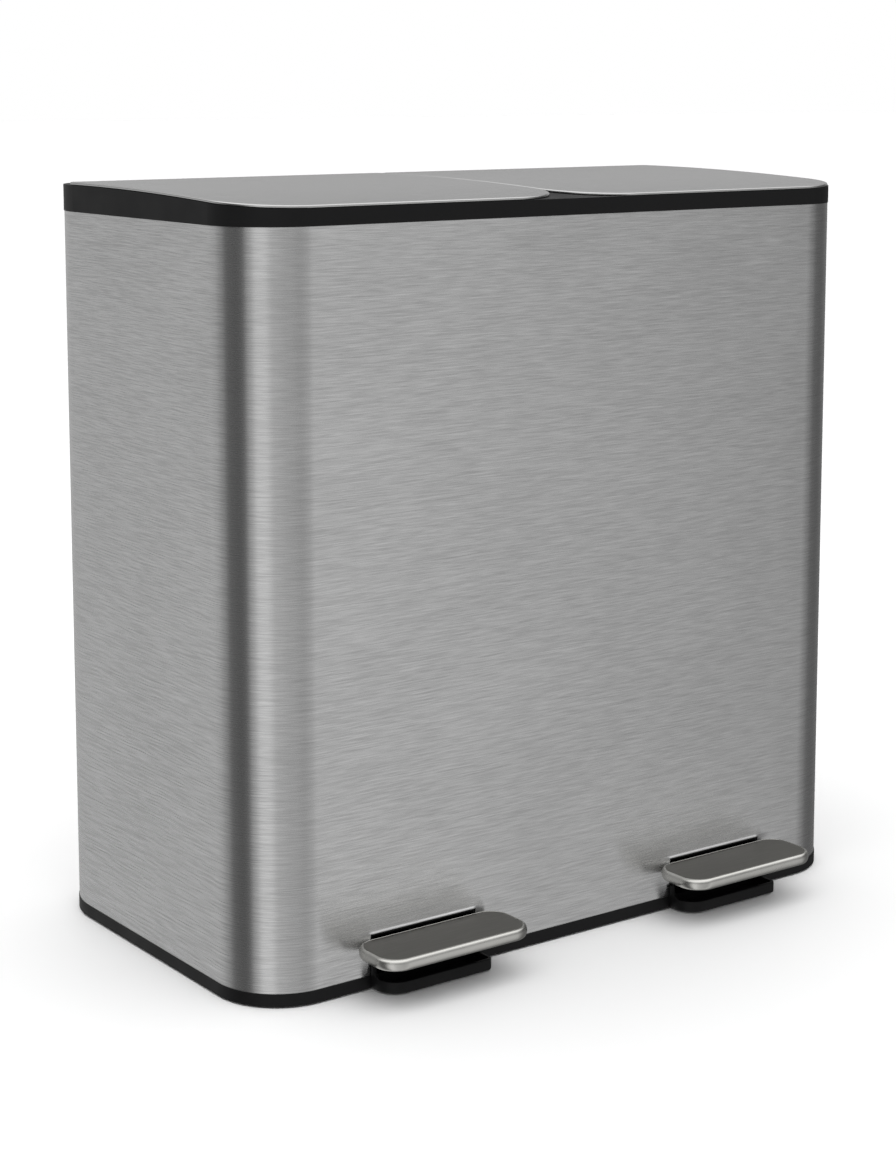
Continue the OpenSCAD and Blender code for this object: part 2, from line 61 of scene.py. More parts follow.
class Hand(Enum):
    """Which half of the bin a piece belongs to."""

    LEFT = -1
    RIGHT = 1

    @property
    def word(self) -> str:
        """The half's name as it stands in piece and body names."""
        return self.name.lower()


class Brushing(Enum):
    """Which way the grinding lines of a brushed sheet run."""

    LEVEL = "level"
    ACROSS = "across"


# ---------------------------------------------------------------------------
# Shapes
# ---------------------------------------------------------------------------


@dataclass(frozen=True)
class Outline:
    """A path in plan with the outward unit normal at each of its points."""

    points: np.ndarray
    normals: np.ndarray

    def only(self, kept: np.ndarray) -> "Outline":
        """Cuts the closed path open and keeps one stretch of it.

        Args:
            kept: True for each point of the stretch, which may run through the path's start.

        Returns:
            The open stretch, in the path's own direction.
        """
        first = int(np.flatnonzero(kept & ~np.roll(kept, 1))[0])
        order = np.roll(np.arange(len(kept)), -first)
        order = order[np.roll(kept, -first)]
        return Outline(self.points[order], self.normals[order])


@dataclass(frozen=True)
class RoundedPlan:
    """A rectangle in plan with a radius for each corner, counter-clockwise from front left.

    Attributes:
        x: Lowest and highest x.
        y: Lowest and highest y.
        radii: Radii of the front left, front right, back right and back left corners.
    """

    x: tuple[float, float]
    y: tuple[float, float]
    radii: tuple[float, float, float, float]

    def inset(self, distance: float) -> "RoundedPlan":
        """Moves the plan's edge inwards.

        Args:
            distance: How far.

        Returns:
            The smaller plan, with corners of 0.2 mm or more.
        """
        return RoundedPlan(
            (self.x[0] + distance, self.x[1] - distance),
            (self.y[0] + distance, self.y[1] - distance),
            tuple(max(radius - distance, 0.2 * MM) for radius in self.radii),
        )

    def outline(self, arc_steps: int = 16, side_steps: int = 6, stops: Sequence[float] = ()) -> Outline:
        """Walks round the plan: a quarter circle at each corner, then the straight side after it.

        Args:
            arc_steps: Segments in each quarter circle.
            side_steps: Segments along each straight side.
            stops: Values of x where the front and back sides must have a point.

        Returns:
            The closed path, without its first point repeated.
        """
        (x0, x1), (y0, y1) = self.x, self.y
        inwards = ((1, 1), (-1, 1), (-1, -1), (1, -1))
        corners = ((x0, y0), (x1, y0), (x1, y1), (x0, y1))
        arcs = []
        for number, (corner, way, radius) in enumerate(zip(corners, inwards, self.radii)):
            angle = math.radians(180 + 90 * number) + np.linspace(0, math.pi / 2, arc_steps + 1)
            normal = np.column_stack([np.cos(angle), np.sin(angle)])
            centre = np.array(corner) + radius * np.array(way)
            arcs.append((centre + radius * normal, normal))
        points, normals = [], []
        for number, (arc, normal) in enumerate(arcs):
            start, end = arc[-1], arcs[(number + 1) % 4][0][0]
            share = np.linspace(0, 1, side_steps + 1)
            if number in (0, 2):
                given = (np.asarray(stops, float) - start[0]) / (end[0] - start[0])
                share = np.union1d(share, given[(given > 0) & (given < 1)])
            side = start + share[1:-1, None] * (end - start)
            points += [arc, side]
            normals += [normal, np.repeat(normal[-1:], len(side), axis=0)]
        return Outline(np.concatenate(points), np.concatenate(normals))

    def spine(self, points: np.ndarray) -> np.ndarray:
        """Finds the nearest points of the plan's middle line.

        The line runs along the longer side and ends half the shorter side from each end.

        Args:
            points: Points in plan, (n, 2).

        Returns:
            The nearest point of the line for each.
        """
        middle = np.array([sum(self.x), sum(self.y)]) / 2
        size = np.array([np.ptp(self.x), np.ptp(self.y)])
        reach = (size - size.min()) / 2
        return np.clip(points, middle - reach, middle + reach)


def flat(x: np.ndarray, y: np.ndarray) -> np.ndarray:
    """A lift of nothing: the surface stays at the profile's own heights."""
    return np.zeros_like(x)


def sweep(outline: Outline, profile: np.ndarray, lift: Lift = flat) -> np.ndarray:
    """Carries a profile along an outline.

    Point (k, j) is the outline's point j moved inwards along its normal by the profile's
    inset k, at the profile's height k plus the lift at that place.

    Args:
        outline: The path in plan.
        profile: One row of (inset, height) for each ring.
        lift: Extra height as a function of x and y.

    Returns:
        The grid of points, one ring to a row.
    """
    plan = outline.points[None] - profile[:, :1, None] * outline.normals[None]
    height = profile[:, 1:] + lift(plan[..., 0], plan[..., 1])
    return np.dstack([plan, height])


def close_in(
    ring: np.ndarray, plan: RoundedPlan, height: float, lift: Lift = flat, steps: int = 8
) -> np.ndarray:
    """Fills a ring: point (k, j) lies the share k/steps of the way from ring point j to the
    plan's middle line, at a height plus the lift there.

    Args:
        ring: The ring's points, (n, 3).
        plan: The plan whose middle line the rings shrink to.
        height: The height of the fill before the lift.
        lift: Extra height as a function of x and y.
        steps: Number of rings in the fill.

    Returns:
        The grid of points, from the ring inwards.
    """
    share = np.linspace(0, 1, steps + 1)[:, None, None]
    flat_ring = ring[None, :, :2]
    plane = flat_ring + share * (plan.spine(ring[:, :2])[None] - flat_ring)
    grid = np.dstack([plane, height + lift(plane[..., 0], plane[..., 1])])
    grid[0] = ring
    return grid


def arc(centre: tuple[float, float], radius: float, start: float, end: float, steps: int = 6) -> np.ndarray:
    """Points of a circle's arc in (inset, height), between two angles in degrees."""
    angle = np.radians(np.linspace(start, end, steps + 1))
    return np.column_stack([centre[0] + radius * np.cos(angle), centre[1] + radius * np.sin(angle)])


def profile(*parts: Sequence) -> np.ndarray:
    """Joins points and arcs of (inset, height), given in millimetres, into one profile in metres."""
    return np.concatenate([np.atleast_2d(np.asarray(part, float)) for part in parts]) * MM


@dataclass
class Shape:
    """Quads gathered from grids of points, to be made into one mesh."""

    points: list[np.ndarray] = field(default_factory=list)
    faces: list[np.ndarray] = field(default_factory=list)
    count: int = 0

    def grid(
        self, points: np.ndarray, closed: bool = True, keep: np.ndarray | None = None, flip: bool = False
    ) -> "Shape":
        """Adds the quads of a grid.

        With a counter-clockwise path for columns, rows that go up or inwards face outwards.

        Args:
            points: The grid, (rows, columns, 3).
            closed: Joins the last column to the first.
            keep: Which quads are made, (rows - 1, columns or columns - 1).
            flip: Turns the quads round.

        Returns:
            The shape itself.
        """
        rows, columns = points.shape[:2]
        index = np.arange(rows * columns).reshape(rows, columns) + self.count
        if closed:
            index = np.hstack([index, index[:, :1]])
        quads = np.stack([index[:-1, :-1], index[:-1, 1:], index[1:, 1:], index[1:, :-1]], axis=-1)
        quads = quads[keep] if keep is not None else quads.reshape(-1, 4)
        self.faces.append(quads[:, ::-1] if flip else quads)
        self.points.append(points.reshape(-1, 3))
        self.count += rows * columns
        return self

    def piece(self, name: str, sharp: float = 35.0) -> bpy.types.Object:
        """Makes the mesh object, with doubles merged and smooth shading broken at sharp edges.

        Args:
            name: The piece's name.
            sharp: Edges that turn by more than this many degrees stay crisp.

        Returns:
            The new object, linked to the scene.
        """
        mesh = bpy.data.meshes.new(name)
        mesh.from_pydata(np.concatenate(self.points), [], np.concatenate(self.faces))
        work = bmesh.new()
        work.from_mesh(mesh)
        bmesh.ops.remove_doubles(work, verts=work.verts, dist=DOUBLE)
        bmesh.ops.dissolve_degenerate(work, dist=DEGENERATE, edges=work.edges)
        work.to_mesh(mesh)
        work.free()
        mesh.shade_smooth()
        mesh.set_sharp_from_angle(angle=math.radians(sharp))
        self.crisp_borders(mesh)
        piece = bpy.data.objects.new(name, mesh)
        bpy.context.scene.collection.objects.link(piece)
        return piece

    @staticmethod
    def crisp_borders(mesh: bpy.types.Mesh) -> None:
        """Marks the edges with a single face as sharp, so that a thickened sheet shades flat.

        Args:
            mesh: The mesh, changed in place.
        """
        edge_of_loop = np.empty(len(mesh.loops), int)
        mesh.loops.foreach_get("edge_index", edge_of_loop)
        border = np.bincount(edge_of_loop, minlength=len(mesh.edges)) == 1
        if not border.any():
            return
        marks = mesh.attributes.get("sharp_edge") or mesh.attributes.new("sharp_edge", "BOOLEAN", "EDGE")
        flags = np.zeros(len(mesh.edges), bool)
        marks.data.foreach_get("value", flags)
        marks.data.foreach_set("value", flags | border)


# ---------------------------------------------------------------------------
# Finishes
# ---------------------------------------------------------------------------


class Wiring:
    """A node tree, with short ways to add and join its nodes."""

    def __init__(self, tree: bpy.types.NodeTree) -> None:
        """Empties the tree."""
        self.tree = tree
        self.tree.nodes.clear()

    def join(self, source: Socket, target: Socket) -> None:
        """Links one socket to another."""
        self.tree.links.new(source, target)

    def add(self, kind: str, *sources: Socket, **settings: str) -> bpy.types.Node:
        """Adds a node.

        Args:
            kind: The node's type.
            sources: What its first inputs are joined to, in order.
            settings: Its own settings, such as its operation.

        Returns:
            The node.
        """
        node = self.tree.nodes.new(kind)
        for setting, value in settings.items():
            setattr(node, setting, value)
        for source, target in zip(sources, node.inputs):
            self.join(source, target)
        return node


class Graph(Wiring):
    """A new material, which ends in a Principled shader."""

    def __init__(self, name: str) -> None:
        """Starts with the shader, the output and the Object coordinates."""
        self.material = bpy.data.materials.new(name)
        self.material.use_nodes = True
        super().__init__(self.material.node_tree)
        self.shader = self.add("ShaderNodeBsdfPrincipled")
        self.add("ShaderNodeOutputMaterial", self.shader.outputs[0])
        self.place = self.add("ShaderNodeTexCoord").outputs["Object"]

    def set(self, **values: object) -> None:
        """Sets the shader's own sockets, named with underscores for spaces."""
        for name, value in values.items():
            self.shader.inputs[name.replace("_", " ")].default_value = value

    def noise(self, scale: Sequence[float], detail: float = 2.0, roughness: float = 0.5) -> Socket:
        """Noise on Object coordinates.

        Args:
            scale: Cells a metre along each axis.
            detail: Octaves of finer noise.
            roughness: Share of each finer octave.

        Returns:
            The noise, mostly between 0.3 and 0.7.
        """
        mapping = self.add("ShaderNodeMapping", self.place)
        mapping.inputs["Scale"].default_value = scale
        noise = self.add("ShaderNodeTexNoise", mapping.outputs[0])
        noise.inputs["Scale"].default_value = 1.0
        noise.inputs["Detail"].default_value = detail
        noise.inputs["Roughness"].default_value = roughness
        return noise.outputs["Fac"]

    def spread(
        self, source: Socket, low: float, high: float, start: float = 0.3, end: float = 0.7
    ) -> Socket:
        """Maps a value evenly from one range to another, and holds it at the ends.

        Args:
            source: The value.
            low: Result at the start.
            high: Result at the end.
            start: Value that gives low.
            end: Value that gives high.

        Returns:
            The mapped value.
        """
        node = self.add("ShaderNodeMapRange", source)
        node.inputs["From Min"].default_value = start
        node.inputs["From Max"].default_value = end
        node.inputs["To Min"].default_value = low
        node.inputs["To Max"].default_value = high
        return node.outputs["Result"]

    def weigh(self, first: Socket, second: Socket, share: float) -> Socket:
        """Weighs two values: the first times its share plus the second times the rest.

        Args:
            first: A value.
            second: Another value.
            share: The first one's share.

        Returns:
            The weighted sum.
        """
        parts = []
        for value, weight in ((first, share), (second, 1 - share)):
            part = self.add("ShaderNodeMath", value, operation="MULTIPLY")
            part.inputs[1].default_value = weight
            parts.append(part.outputs[0])
        return self.plus(*parts)

    def plus(self, first: Socket, second: Socket) -> Socket:
        """The sum of two values."""
        return self.add("ShaderNodeMath", first, second, operation="ADD").outputs[0]

    def tint(self, factor: Socket, colour: Sequence[float], darkest: float, lightest: float) -> Socket:
        """Varies a colour's lightness.

        Args:
            factor: 0 for the darkest shade, 1 for the lightest.
            colour: The mean colour.
            darkest: Share of the colour in the darkest shade.
            lightest: Share of it in the lightest.

        Returns:
            The varied colour.
        """
        node = self.add("ShaderNodeMix", factor, data_type="RGBA")
        for socket, share in ((node.inputs[MIX_FIRST], darkest), (node.inputs[MIX_SECOND], lightest)):
            socket.default_value = (*(min(channel * share, 1.0) for channel in colour), 1)
        return node.outputs[MIX_RESULT]

    def bump(self, height: Socket, depth: float) -> None:
        """Gives the shader a bump.

        Args:
            height: The height, from 0 to 1.
            depth: What a height of 1 stands for, in metres.
        """
        node = self.add("ShaderNodeBump")
        node.inputs["Distance"].default_value = depth
        self.join(height, node.inputs["Height"])
        self.join(node.outputs[0], self.shader.inputs["Normal"])


@dataclass(frozen=True)
class BrushedSteel:
    """Stainless sheet ground with a belt: long fine lines, a faint cloud and a little wave.

    Attributes:
        name: The material's name.
        brushing: Which way the lines run.
        colour: Mean reflected colour.
        roughness: Mean roughness.
        stretch: How far highlights are drawn out across the lines, from 0 to 1.
        contrast: Share by which the lines change the colour.
        relief: Depth of the lines.
    """

    name: str
    brushing: Brushing = Brushing.LEVEL
    colour: tuple[float, float, float] = (0.5, 0.5, 0.5)
    roughness: float = 0.27
    stretch: float = 0.9
    contrast: float = 0.17
    relief: float = 0.02 * MM

    def scale(self, along: float, across: float) -> tuple[float, float, float]:
        """Noise cells a metre for each axis, for a line's length and width in millimetres."""
        long, short = 1 / (along * MM), 1 / (across * MM)
        return (long, long, short) if self.brushing is Brushing.LEVEL else (long, short, short)

    def material(self) -> bpy.types.Material:
        """Builds the node material.

        Returns:
            The material.
        """
        graph = Graph(self.name)
        streaks = graph.noise(self.scale(22, 0.9), detail=3.0, roughness=0.6)
        hairs = graph.noise(self.scale(40, 0.35), detail=2.0, roughness=0.6)
        cloud = graph.noise((7, 7, 9), detail=2.0)
        lines = graph.weigh(streaks, hairs, 0.62)
        tone = graph.plus(lines, graph.spread(cloud, -0.03, 0.03))
        factor = graph.spread(tone, 0, 1, 0.34, 0.66)
        colour = graph.tint(factor, self.colour, 1 - self.contrast, 1 + self.contrast)
        graph.join(colour, graph.shader.inputs["Base Color"])
        rough = graph.spread(lines, self.roughness + 0.05, self.roughness - 0.05)
        graph.join(rough, graph.shader.inputs["Roughness"])
        graph.set(Metallic=1.0, Anisotropic=self.stretch, Anisotropic_Rotation=0.25)
        if self.brushing is Brushing.LEVEL:
            tangent = graph.add("ShaderNodeTangent", direction_type="RADIAL", axis="Z")
            graph.join(tangent.outputs[0], graph.shader.inputs["Tangent"])
        graph.bump(lines, self.relief)
        return graph.material


@dataclass(frozen=True)
class SatinMetal:
    """Fine-blasted or plated metal with no direction to its grain.

    Attributes:
        name: The material's name.
        colour: Mean reflected colour.
        roughness: Mean roughness.
        grain: Cells of the blasting a metre.
        depth: Depth of the blasting.
    """

    name: str
    colour: tuple[float, float, float]
    roughness: float
    grain: float = 1800.0
    depth: float = 0.01 * MM

    def material(self) -> bpy.types.Material:
        """Builds the node material.

        Returns:
            The material.
        """
        graph = Graph(self.name)
        grain = graph.noise((self.grain,) * 3, detail=2.0)
        smudge = graph.noise((45, 45, 45), detail=3.0)
        colour = graph.tint(graph.spread(smudge, 0, 1), self.colour, 0.93, 1.05)
        graph.join(colour, graph.shader.inputs["Base Color"])
        rough = graph.spread(smudge, self.roughness - 0.03, self.roughness + 0.05)
        graph.join(rough, graph.shader.inputs["Roughness"])
        graph.set(Metallic=1.0)
        graph.bump(grain, self.depth)
        return graph.material


@dataclass(frozen=True)
class MouldedPlastic:
    """Moulded plastic with a spark-eroded grain and a slight cloud in its gloss.

    Attributes:
        name: The material's name.
        colour: Mean colour.
        roughness: Mean roughness.
        grain: Cells of the grain a metre.
        depth: Depth of the grain.
        level: Specular level.
    """

    name: str
    colour: tuple[float, float, float] = (0.0055, 0.0055, 0.0058)
    roughness: float = 0.52
    grain: float = 1500.0
    depth: float = 0.03 * MM
    level: float = 0.17

    def material(self) -> bpy.types.Material:
        """Builds the node material.

        Returns:
            The material.
        """
        graph = Graph(self.name)
        grain = graph.noise((self.grain,) * 3, detail=3.0, roughness=0.6)
        cloud = graph.noise((30, 30, 30), detail=3.0)
        mix = graph.weigh(cloud, grain, 0.6)
        colour = graph.tint(graph.spread(mix, 0, 1), self.colour, 0.85, 1.18)
        graph.join(colour, graph.shader.inputs["Base Color"])
        rough = graph.spread(cloud, self.roughness - 0.05, self.roughness + 0.06)
        graph.join(rough, graph.shader.inputs["Roughness"])
        graph.shader.inputs["Specular IOR Level"].default_value = self.level
        graph.bump(grain, self.depth)
        return graph.material


@dataclass(frozen=True)
class Palette:
    """The bin's finishes."""

    body_steel: BrushedSteel = BrushedSteel("Brushed_Body_Steel")
    lid_steel: BrushedSteel = BrushedSteel(
        "Satin_Lid_Steel", Brushing.ACROSS, (0.47, 0.47, 0.468), 0.22, 0.0, 0.025, 0.003 * MM
    )
    pedal_edge: SatinMetal = SatinMetal("Satin_Pedal_Edge", (0.55, 0.545, 0.52), 0.25)
    pedal_top: BrushedSteel = BrushedSteel(
        "Dark_Pedal_Top", Brushing.ACROSS, (0.185, 0.181, 0.167), 0.42, 0.0, 0.04, 0.008 * MM
    )
    pressed: SatinMetal = SatinMetal("Galvanised_Lever", (0.42, 0.43, 0.44), 0.38, 900.0)
    zinc: SatinMetal = SatinMetal("Bright_Zinc", (0.62, 0.63, 0.66), 0.22)
    black: MouldedPlastic = MouldedPlastic("Black_Moulding")
    bucket: MouldedPlastic = MouldedPlastic("Bucket_Polypropylene", (0.045, 0.046, 0.049), 0.42, 900.0)
    rubber: MouldedPlastic = MouldedPlastic("Foot_Rubber", (0.03, 0.03, 0.03), 0.75, 700.0)
    nylon: MouldedPlastic = MouldedPlastic("Natural_Nylon", (0.72, 0.7, 0.64), 0.35, 2000.0)
    damper: MouldedPlastic = MouldedPlastic("Damper_Acetal", (0.5, 0.5, 0.48), 0.3, 2000.0)


class Workshop:
    """Makes each finish once and dresses and mounts the pieces."""

    def __init__(self, palette: Palette) -> None:
        """Keeps the palette and an empty store of built materials."""
        self.palette = palette
        self.made: dict[str, bpy.types.Material] = {}

    def finish(self, key: str) -> bpy.types.Material:
        """Gives the material of a finish, built on first use.

        Args:
            key: The finish's name in the palette.

        Returns:
            The material.
        """
        if key not in self.made:
            self.made[key] = getattr(self.palette, key).material()
        return self.made[key]

    def mount(
        self, piece: bpy.types.Object, finish: str, slot: str, body: str, replaces: Sequence[str] = ()
    ) -> None:
        """Dresses a new piece and fixes it to a body.

        Args:
            piece: The new mesh object.
            finish: The palette's finish.
            slot: The record's material slot; not used.
            body: The body that the piece rides on.
            replaces: The CAD nodes that it stands for.
        """
        piece.data.materials.clear()
        piece.data.materials.append(self.finish(finish))
        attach(piece, body)
        if replaces:
            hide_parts(*replaces)
        log.info("%s rides on %s, %d faces", piece.name, body, len(piece.data.polygons))

    def dress(self, finish: str, *nodes: str) -> None:
        """Gives CAD nodes a finish in place of their flat colour.

        Args:
            finish: The finish's name in the palette.
            nodes: The nodes' names.
        """
        for node in nodes:
            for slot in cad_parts[node].material_slots:
                slot.material = self.finish(finish)
            log.info("%s is dressed in %s", node, finish)


# ---------------------------------------------------------------------------
# The bin's own measures
# ---------------------------------------------------------------------------


@dataclass(frozen=True)
class Layout:
    """Where the main pieces lie, read from the frame.

    Attributes:
        front: The y of the steel body's front.
        back: The y of its back.
        side: Half its width.
        middle: The y of its middle.
        low: Height where the steel starts.
        rim: Height where the rim starts.
        top: Height of the rim at the top of its arch.
        arch_radius: Radius of the arch.
        arch_y: The y where the arch is highest.
        bay: The x of the right-hand bay's middle.
    """

    front: float
    back: float
    side: float
    middle: float
    low: float
    rim: float
    top: float
    arch_radius: float
    arch_y: float
    bay: float

    @classmethod
    def read(cls) -> "Layout":
        """Reads the boxes of the CAD nodes.

        Returns:
            The layout, whose arch is highest a crest's distance behind the middle.
        """
        low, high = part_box("body_wrap")
        middle = (low[1] + high[1]) / 2
        crest = 86 * MM
        return cls(
            front=low[1], back=high[1], side=high[0], middle=middle, low=low[2], rim=high[2],
            top=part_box("top_rim")[1][2], arch_radius=3900 * MM, arch_y=middle + crest,
            bay=high[0] / 2,
        )

    def arch(self, x: np.ndarray, y: np.ndarray) -> np.ndarray:
        """Height of the rim's arch: a circle of arch_radius about an axis along X."""
        return self.top - self.arch_radius + np.sqrt(self.arch_radius**2 - (y - self.arch_y) ** 2)


# ---------------------------------------------------------------------------
# Sub-assemblies
# ---------------------------------------------------------------------------


@dataclass
class SteelBody:
    """The brushed sheet that is wrapped round the bin, and the panel that closes its back.

    Attributes:
        shop: The workshop.
        layout: The bin's main measures.
        front_radius: Radius of the front corners.
        rear_radius: Radius of the rear corners.
        sheet: Thickness of the sheet.
        window: Half the width of the opening that the back panel closes.
        slot_half: Half the width of a pedal's slot.
        frame_gap: Gap over the frame that lines the slot.
        bead: Height of the bead over the slot.
        bead_width: Width of the bead.
    """

    shop: Workshop
    layout: Layout
    front_radius: float = 55 * MM
    rear_radius: float = 65 * MM
    sheet: float = 0.6 * MM
    window: float = 215 * MM
    slot_half: float = 49.5 * MM
    frame_gap: float = 0.2 * MM
    bead: float = 1.2 * MM
    bead_width: float = 2.2 * MM

    def build(self) -> None:
        """Builds both sheets."""
        self.build_wrap()
        self.build_panel()

    def build_wrap(self) -> None:
        """The wrap: upright lines carried round the body's plan, with a hole for each pedal.

        The sheet is pushed outwards along the top of each hole by a low bead, whose height
        is a raised cosine of the distance from the hole.
        """
        lay = self.layout
        slot_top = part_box("pedal_guard_left")[1][2] + self.frame_gap
        plan = RoundedPlan(
            (-lay.side, lay.side), (lay.front, lay.back),
            (self.front_radius, self.front_radius, self.rear_radius, self.rear_radius),
        )
        edges = [hand.value * lay.bay + s * self.slot_half for hand in Hand for s in (-1, 1)]
        near = [edge + s * self.bead_width for edge in edges for s in (-1, 1)]
        stops = [*edges, *near, -self.window, self.window]
        ring = plan.outline(arc_steps=28, side_steps=16, stops=stops)
        behind = (ring.points[:, 1] > lay.back - TOUCH) & (np.abs(ring.points[:, 0]) < self.window - TOUCH)
        ring = ring.only(~behind)
        heights = np.union1d(
            np.linspace(lay.low, lay.rim, 25),
            slot_top + np.linspace(0, self.bead_width, 7),
        )
        rows = np.column_stack([np.zeros_like(heights), heights])
        points = sweep(ring, rows)
        x, y, z = points[..., 0], points[..., 1], points[..., 2]
        at_front = y < lay.front + TOUCH
        beyond = np.maximum(np.abs(np.abs(x) - lay.bay) - self.slot_half, 0)
        above = np.maximum(z - slot_top, 0)
        away = np.clip(np.hypot(beyond, above) / self.bead_width, 0, 1)
        bead = self.bead * 0.5 * (1 + np.cos(math.pi * away))
        points[..., 1] -= np.where(at_front & (z > slot_top - TOUCH), bead, 0)
        middle = (points[:-1, :-1] + points[1:, 1:]) / 2
        hole = (np.abs(np.abs(middle[..., 0]) - lay.bay) < self.slot_half) & (middle[..., 2] < slot_top)
        hole &= middle[..., 1] < lay.front + 1 * MM
        wrap = Shape().grid(points, closed=False, keep=~hole).piece("steel_wrap")
        wall = wrap.modifiers.new("wall", "SOLIDIFY")
        wall.thickness = self.sheet
        wall.offset = -1
        self.shop.mount(wrap, "body_steel", "brushed_steel", "root", ["body_wrap"])

    def build_panel(self) -> None:
        """The back panel: a sheet with a pressed field, which stands out by a smooth step.

        Its depth at a point is the product of two smooth steps, of the distances from the
        side and from the end, so the field has rounded shoulders.
        """
        low, high = (np.array(corner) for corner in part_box("rear_panel"))
        raised = self.layout.back - high[1] - 0.1 * MM
        shoulder, margin = 14 * MM, 30 * MM

        def spaced(a: float, b: float) -> np.ndarray:
            """Values from a to b, closer together on the field's shoulders."""
            return np.concatenate([
                [a], np.linspace(a + margin, a + margin + shoulder, 9),
                np.linspace(a + margin + shoulder, b - margin - shoulder, 20)[1:-1],
                np.linspace(b - margin - shoulder, b - margin, 9), [b],
            ])

        def rise(values: np.ndarray, a: float, b: float) -> np.ndarray:
            """Smooth step from 0 at the margin to 1 past the shoulder, from both ends."""
            inside = np.clip((np.minimum(values - a, b - values) - margin) / shoulder, 0, 1)
            return inside * inside * (3 - 2 * inside)

        x, z = spaced(low[0], high[0]), spaced(low[2], high[2])
        depth = np.outer(rise(z, low[2], high[2]), rise(x, low[0], high[0]))
        grid = np.dstack([*np.meshgrid(x, z), high[1] + raised * depth])[..., [0, 2, 1]]
        panel = Shape().grid(grid, closed=False, flip=True).piece("back_sheet")
        wall = panel.modifiers.new("wall", "SOLIDIFY")
        wall.thickness = self.sheet
        wall.offset = -1
        self.shop.mount(panel, "body_steel", "brushed_steel", "root", ["rear_panel"])


@dataclass
class Lid:
    """One steel lid with its black liner, which swings on two barrels at the back.

    Attributes:
        shop: The workshop.
        layout: The bin's main measures.
        hand: The lid's side.
        split: Distance from the bin's middle to the lid, in metres.
        gap: How far the lid stays inside the body's edge, in metres.
        crown: Height of its top over the rim's arch, in millimetres as the rest are.
        roll: Radius of its rolled edge.
        sheet: Thickness of the sheet.
        lift: Clearance between its hem and the rim.
    """

    shop: Workshop
    layout: Layout
    hand: Hand
    split: float = 1.5 * MM
    gap: float = 0.3 * MM
    crown: float = 2.37
    roll: float = 1.2
    sheet: float = 0.6
    lift: float = 0.4

    def plan(self) -> RoundedPlan:
        """Works out the lid's plan, which follows the body's edge with a small gap.

        Returns:
            The plan, with wide corners at the front and small ones at the hinge.
        """
        lay = self.layout
        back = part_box(f"lid_cover_{self.hand.word}")[1][1]
        inner, outer = self.split, lay.side - self.gap
        front, rear = 55 * MM, 6 * MM
        x = (inner, outer) if self.hand is Hand.RIGHT else (-outer, -inner)
        return RoundedPlan(x, (lay.front + self.gap, back), (front, front, rear, rear))

    def build(self) -> None:
        """Builds the steel cover and dresses the liner.

        The cover is one closed skin: its profile goes from the inside up against the crown,
        down to the hem, round it and up the outside over the rolled edge, and both ends are
        filled to the plan's middle line. The whole follows the rim's arch.
        """
        plan = self.plan()
        ring = plan.outline(arc_steps=28, side_steps=14)
        roll, top, sheet = self.roll, self.crown, self.sheet
        side = profile(
            (sheet, top - sheet), (sheet, self.lift + 0.25),
            arc((sheet / 2, self.lift + 0.25), sheet / 2, 0, -180, 4),
            arc((roll, top - roll), roll, 180, 90, 8),
            (2.6, top), (4.0, top), (5.5, top),
        )
        skirt = sweep(ring, side, self.layout.arch)
        cover = Shape().grid(skirt)
        cover.grid(close_in(skirt[-1], plan, top * MM, self.layout.arch, 16))
        cover.grid(close_in(skirt[0], plan, (top - sheet) * MM, self.layout.arch, 16), flip=True)
        word = self.hand.word
        piece = cover.piece(f"lid_skin_{word}")
        self.shop.mount(piece, "lid_steel", "lid_steel", f"lid_{word}", [f"lid_cover_{word}"])
        self.shop.dress("black", f"lid_liner_{word}")


